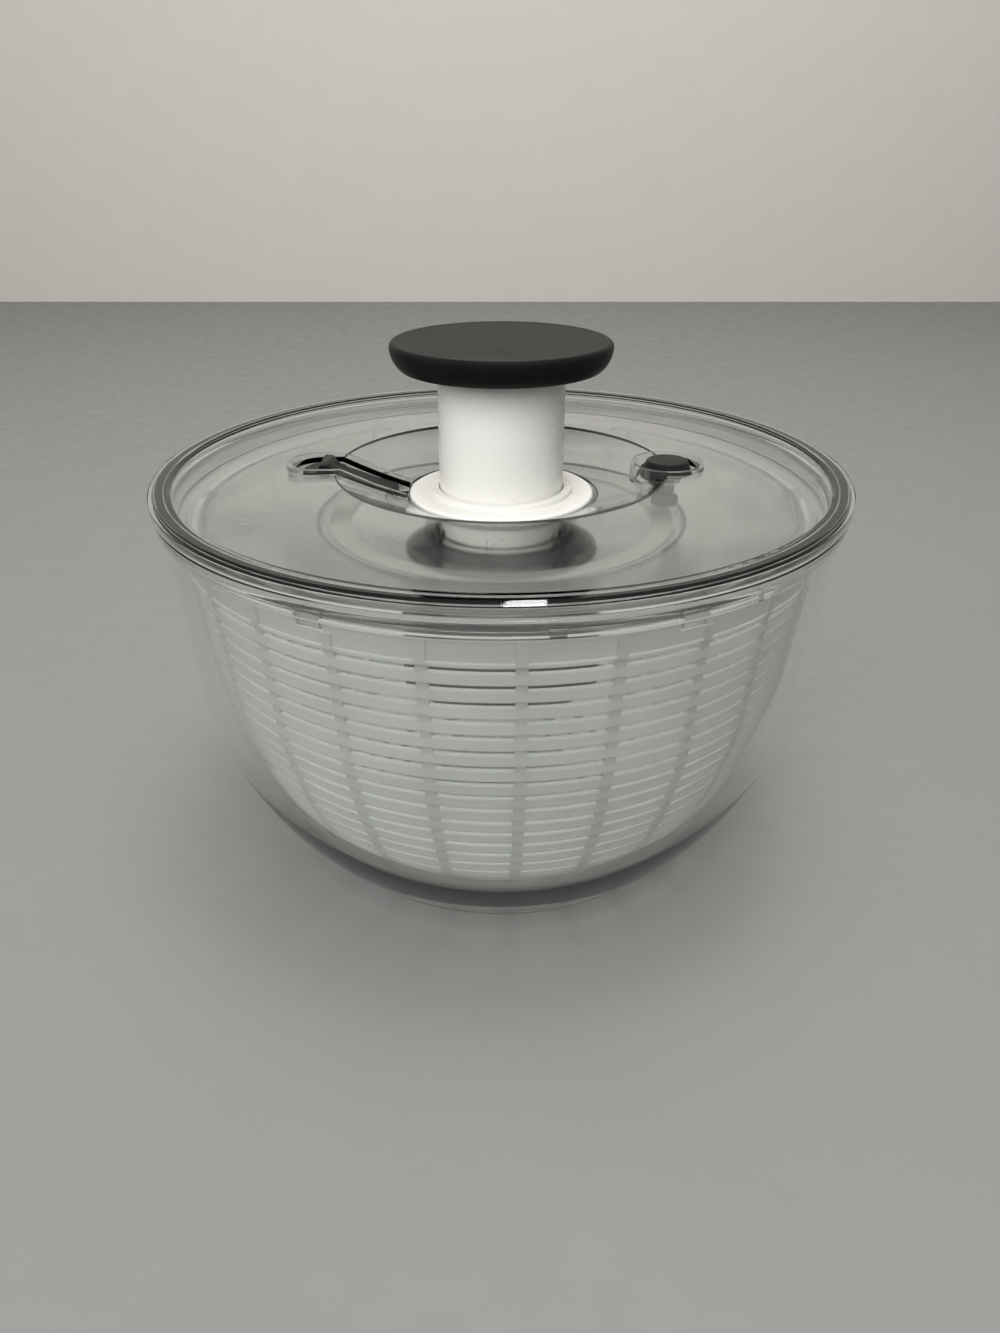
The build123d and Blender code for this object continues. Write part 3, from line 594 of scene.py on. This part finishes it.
class SPINNER_OT_basket(bpy.types.Operator):
    """Milky basket: rounded slats, upright ribs, a panelled rim with notches and a slotted floor"""

    bl_idname = "spinner.basket"
    bl_label = "Basket"

    def execute(self, context):
        s, c = sizes(), colours()
        milky = milky_plastic("milky_basket", c.milky, open_share=0.30, glow_share=0.40, rough=0.16)
        top_gap = BASKET_TOP - s.rim_band
        rim_low = top_gap + s.gap / 2
        slats = []
        for row in range(s.slats):
            high = top_gap - row * s.pitch - s.gap / 2
            outline = slat_outline(high - s.pitch + s.gap, high, thick=2.0, lean=0.9)
            slats.append(lathe_arrays(outline, 192))
        levels = np.linspace(BASKET_WALL_FOOT, rim_low + 1, 40)
        rib_face = basket_radius(levels) - 0.7
        slats += [rib_arrays(levels, rib_face, 2.4, RIB_WIDTH, turn) for turn in rib_turns()]
        walls = mesh_object("basket_slats", *merged(slats))
        dress(walls, milky, "basket", "basket")
        dress(self.rim(rim_low), milky, "basket")
        panels = []
        under_notch, under_lip = BASKET_TOP - 4.8, BASKET_TOP - 1.6
        for number, turn in enumerate(rib_turns()):
            beside_notch = number % (s.ribs // LUGS) == 0
            span = np.linspace(rim_low + 0.6, under_notch if beside_notch else under_lip, 4)
            panels.append(rib_arrays(span, basket_radius(span), 1.4, RIB_WIDTH, turn))
        dress(mesh_object("basket_rim_ribs", *merged(panels)), milky, "basket")
        dress(self.floor(top_gap), milky, "basket")
        return {"FINISHED"}

    def rim(self, low):
        """The band over the slats: a face sunk between two lips, with a notch for each drive lug."""
        recess, thick, notch_depth, notch_width = 0.6, 2.2, 4.6, 10.2
        z = np.array([low, low + 1.5, low + 2.0, BASKET_TOP - 2.6, BASKET_TOP - 2.0, BASKET_TOP])
        outer = basket_radius(z) - np.array([0, 0, recess, recess, 0, 0])
        inner = basket_radius(z[[0, -1]]) - thick
        line = [*zip(outer, z), (inner[1], BASKET_TOP), (inner[0], low)]
        piece = lathe("basket_rim", rounded(line, [0.5, 0.3, 0.3, 0.3, 0.3, 0.7, 0.7, 0.5], 4), 240)
        span = np.array([BASKET_TOP - notch_depth, BASKET_TOP + 2])
        past_wall = np.array([124.0, 124.0])
        turns = [radians(360 / LUGS * number) for number in range(LUGS)]
        notches = [rib_arrays(span, past_wall, 10.0, notch_width, turn) for turn in turns]
        cut_away(piece, mesh_object("notches", *merged(notches)))
        return piece

    def floor(self, top_gap):
        """Concentric bands joined by spokes, a rounded outer edge and a boss over the bowl's pin."""
        s = sizes()
        low, high = BASKET_FLOOR
        edge_inner, thick = 73.8, 2.2
        z = np.linspace(BASKET_WALL_FOOT, top_gap - s.slats * s.pitch + s.gap / 2, 5)
        wall = basket_radius(z)
        edge = [(edge_inner, low), (80.5, low), (82.6, 12.9), (83.0, 14.6), *zip(wall, z)]
        edge += [*zip(wall[::-1] - thick, z[::-1]), (80.4, 15.6), (79.2, high), (edge_inner, high)]
        parts = [lathe_arrays(edge, 192)]
        first_band, band_width, band_pitch = 28.8, 6.2, 9.0
        for step in range(5):
            inner = first_band + band_pitch * step
            outer = inner + band_width
            band = [(inner, low), (outer, low), (outer, high), (inner, high)]
            parts.append(lathe_arrays(rounded(band, 0.5, 3), 144))
        boss_inner, boss_outer, seat, roof = 4.08, 9.0, 17.4, 19.4
        boss = [
            (boss_inner, low), (26.0, low), (26.0, high), (boss_outer, high), (boss_outer, roof - 0.6),
            (boss_outer - 0.6, roof), (0, roof), (0, seat), (boss_inner, seat),
        ]
        parts.append(lathe_arrays(boss, 96))
        sunk = 0.1
        level = np.array([low + sunk, high - sunk])
        spoke_end, spoke_length = np.array([76.0, 76.0]), 52.0
        parts += [rib_arrays(level, spoke_end, spoke_length, RIB_WIDTH, turn) for turn in rib_turns()]
        return mesh_object("basket_floor", *merged(parts))


class SPINNER_OT_knob(bpy.types.Operator):
    """Soft black knob cover: a slightly dished top, a round edge and a hollow flank"""

    bl_idname = "spinner.knob"
    bl_label = "Knob"

    def execute(self, context):
        r, top, under = sizes().knob, KNOB_TOP, KNOB_UNDER
        roof = top - 3.2
        dish = arc3((0.0, top - 0.75), (18.0, top - 0.6), (36.5, top - 0.15), 10)
        edge = arc3((39.4, top - 0.1), (r - 0.35, top - 0.85), (r, top - 2.2), 10)
        flank = arc3((r - 0.05, top - 2.6), (r - 1.1, under + 3.3), (KNOB_CORE + 0.6, under), 14)
        hollow = [(KNOB_CORE, under), (KNOB_CORE, roof), (0, roof)]
        piece = lathe("knob_grip", np.concatenate([dish, edge, flank, hollow]), 192)
        dress(piece, scuffed_rubber("knob_rubber", colours().black), "plunger", "knob_pad")
        return {"FINISHED"}


class SPINNER_OT_controls(bpy.types.Operator):
    """Lock slider, brake button and white collar with moulded round edges"""

    bl_idname = "spinner.controls"
    bl_label = "Lock, brake and collar"

    def execute(self, context):
        c = colours()
        black_tones = tuple(c.black), toned(c.black, 1.8)
        black = solid_plastic("black_controls", *black_tones, rough=0.36, bump=0.15, shine=0.12)
        white_tones = toned(c.white, 0.97), tuple(c.white)
        white = solid_plastic("white_collar", *white_tones, rough=0.3, bump=0.05, coat=0.2)
        dress(softened("lock_grip", "lock_slider", 0.55), black, "lock", "lock_slider")
        dress(softened("brake_cap", "brake_button", 0.5), black, "brake", "brake_button")
        dress(softened("collar_ring", "collar", 0.35), white, "lid", "collar")
        return {"FINISHED"}


class SPINNER_OT_springs(bpy.types.Operator):
    """Coiled return spring round the screw and the small spring under the brake button"""

    bl_idname = "spinner.springs"
    bl_label = "Springs"

    def execute(self, context):
        steel = solid_plastic("spring_wire", (0.5, 0.5, 0.49), (0.62, 0.62, 0.6), 0.28, bump=0.02)
        steel.node_tree.nodes["Principled BSDF"].inputs["Metallic"].default_value = 1.0
        low, high = 82.8, 144.5
        coil = coil_arrays(radius=13.0, wire=1.3, low=low, high=high, turns=7)
        piece = mesh_object("return_coil", *coil)
        dress(piece, steel, "screw", "return_spring")
        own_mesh(piece)
        low, high = 146.0, 155.4
        coil = coil_arrays(radius=5.4, wire=0.8, low=low, high=high, turns=5, reach=BUTTON_REACH)
        piece = mesh_object("brake_coil", *coil)
        dress(piece, steel, "lid", "brake_spring")
        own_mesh(piece)
        return {"FINISHED"}


class SPINNER_OT_fittings(bpy.types.Operator):
    """Finishes of the CAD nodes that keep their shape"""

    bl_idname = "spinner.fittings"
    bl_label = "Fittings"

    def execute(self, context):
        c = colours()
        clear = clear_plastic("clear_fittings", c.clear, haze=0.025, scratches=0.02)
        hazy = clear_plastic("clear_turntable", c.clear, haze=0.12, scratches=0.03)
        white_tones = toned(c.white, 0.985), tuple(c.white)
        white = solid_plastic("white_moulding", *white_tones, rough=0.28, bump=0.05, coat=0.25)
        black_tones = tuple(c.black), toned(c.black, 1.6)
        black = solid_plastic("black_moulding", *black_tones, rough=0.42, bump=0.2, shine=0.12)
        track = milky_plastic("frosted_track", (0.33, 0.335, 0.305), 0.5, 0.35, rough=0.5)
        smoke = milky_plastic("smoked_housing", (0.13, 0.135, 0.14), 0.35, 0.3, rough=0.3)
        resin_tones = (0.66, 0.65, 0.60), (0.72, 0.71, 0.66)
        resin = solid_plastic("drive_resin", *resin_tones, rough=0.4, bump=0.05)
        rubber_tones = (0.03, 0.03, 0.03), (0.05, 0.05, 0.05)
        rubber = solid_plastic("pad_rubber", *rubber_tones, rough=0.8, bump=0.3)
        for names, material in (
            (CLEAR_NODES, clear),
            (HAZY_NODES, hazy),
            (("plunger_tube",), white),
            (("knob_core",), black),
            (("brake_track",), track),
            (("clutch_housing",), smoke),
            (DRIVE_NODES, resin),
            (("brake_pad",), rubber),
        ):
            for name in names:
                dress_node(name, material)
        return {"FINISHED"}


class SPINNER_OT_stage(bpy.types.Operator):
    """Pale table and backdrop, soft lights and the camera"""

    bl_idname = "spinner.stage"
    bl_label = "Stage"

    def execute(self, context):
        s, c = sizes(), colours()
        near, far, high, half_width = -3.0, 1.5, 2.6, 3.0
        table = self.strip("table", [(near, 0.0), (far, 0.0)], half_width)
        back = self.strip("backdrop", [(far, -0.01), (far, high)], half_width)
        floor_tones = toned(c.floor, 0.97), tuple(c.floor)
        dress(table, solid_plastic("table_top", *floor_tones, rough=0.5, bump=0.03))
        wall_tones = toned(c.wall, 0.97), tuple(c.wall)
        dress(back, solid_plastic("backdrop", *wall_tones, rough=0.8, bump=0.1))
        self.lamp("ceiling", (0.15, -0.15, 1.6), (0, 0.05, 0.1), 0.9, 18, False)
        self.lamp("glint", (0.1, 0.1, 1.6), (0, 0.05, 0.1), 0.22, 2.5, True)
        self.lamp("front", (-0.35, -1.5, 1.25), (0, 0, 0.12), 1.3, 34, False)
        self.lamp("wall_wash", (0, 0.5, 1.9), (0, 1.5, 0.5), 1.2, 14, False)
        self.lamp("side_fill", (-1.5, -0.5, 0.9), (0, 0, 0.1), 1.0, 6, False)
        world = bpy.data.worlds.new("room")
        world.use_nodes = True
        background = world.node_tree.nodes["Background"]
        background.inputs["Color"].default_value = (0.80, 0.80, 0.78, 1)
        background.inputs["Strength"].default_value = 0.42
        context.scene.world = world
        context.scene.view_settings.view_transform = "Standard"
        view = bpy.data.cameras.new("view")
        view.sensor_fit = "VERTICAL"
        view.sensor_height = FILM_HEIGHT
        view.lens = LENS
        camera = bpy.data.objects.new("view", view)
        camera.location = (-0.0005, -s.camera_back, s.camera_height)
        camera.rotation_euler = (pi / 2 - CAMERA_DIP, 0.0, 0.0)
        context.scene.collection.objects.link(camera)
        context.scene.camera = camera
        return {"FINISHED"}

    def strip(self, name, line, half_width):
        """A flat sheet: a straight (y, z) line of two points carried along X."""
        points = [(x, y, z) for x in (-half_width, half_width) for y, z in line]
        return mesh_object(name, points, [(0, 2, 3, 1)])

    def lamp(self, name, place, target, size, power, glints):
        """A square area lamp; only one that glints is seen in gloss and through clear walls."""
        light = bpy.data.lights.new(name, "AREA")
        light.shape = "SQUARE"
        light.size = size
        light.energy = power
        made = bpy.data.objects.new(name, light)
        made.location = place
        aim = Vector(target) - Vector(place)
        made.rotation_euler = aim.to_track_quat("-Z", "Y").to_euler()
        made.visible_glossy = made.visible_transmission = glints
        bpy.context.scene.collection.objects.link(made)


class SPINNER_PT_panel(bpy.types.Panel):
    """Lists the steps that build the spinner"""

    bl_label = "Salad spinner"
    bl_idname = "SPINNER_PT_panel"
    bl_space_type = "VIEW_3D"
    bl_region_type = "UI"
    bl_category = "Spinner"

    def draw(self, context):
        for step in OPERATORS:
            self.layout.operator(step.bl_idname)
        for group in (context.scene.spinner_sizes, context.scene.spinner_colours):
            for key in group.bl_rna.properties.keys():
                if key not in ("rna_type", "name"):
                    self.layout.prop(group, key)


OPERATORS = (
    SPINNER_OT_stage,
    SPINNER_OT_fittings,
    SPINNER_OT_bowl,
    SPINNER_OT_basket,
    SPINNER_OT_knob,
    SPINNER_OT_controls,
    SPINNER_OT_springs,
)
CLASSES = (SpinnerSizes, SpinnerColours, *OPERATORS, SPINNER_PT_panel)


def register():
    """Adds the classes and hangs their sizes and colours on the scene."""
    for item in CLASSES:
        bpy.utils.register_class(item)
    bpy.types.Scene.spinner_sizes = PointerProperty(type=SpinnerSizes)
    bpy.types.Scene.spinner_colours = PointerProperty(type=SpinnerColours)


def unregister():
    """Takes away what register added."""
    del bpy.types.Scene.spinner_sizes
    del bpy.types.Scene.spinner_colours
    for item in reversed(CLASSES):
        bpy.utils.unregister_class(item)


def main():
    """Builds the stage and every piece."""
    register()
    bpy.ops.spinner.stage()
    bpy.ops.spinner.fittings()
    bpy.ops.spinner.bowl()
    bpy.ops.spinner.basket()
    bpy.ops.spinner.knob()
    bpy.ops.spinner.controls()
    bpy.ops.spinner.springs()


if __name__ == "__main__":
    main()
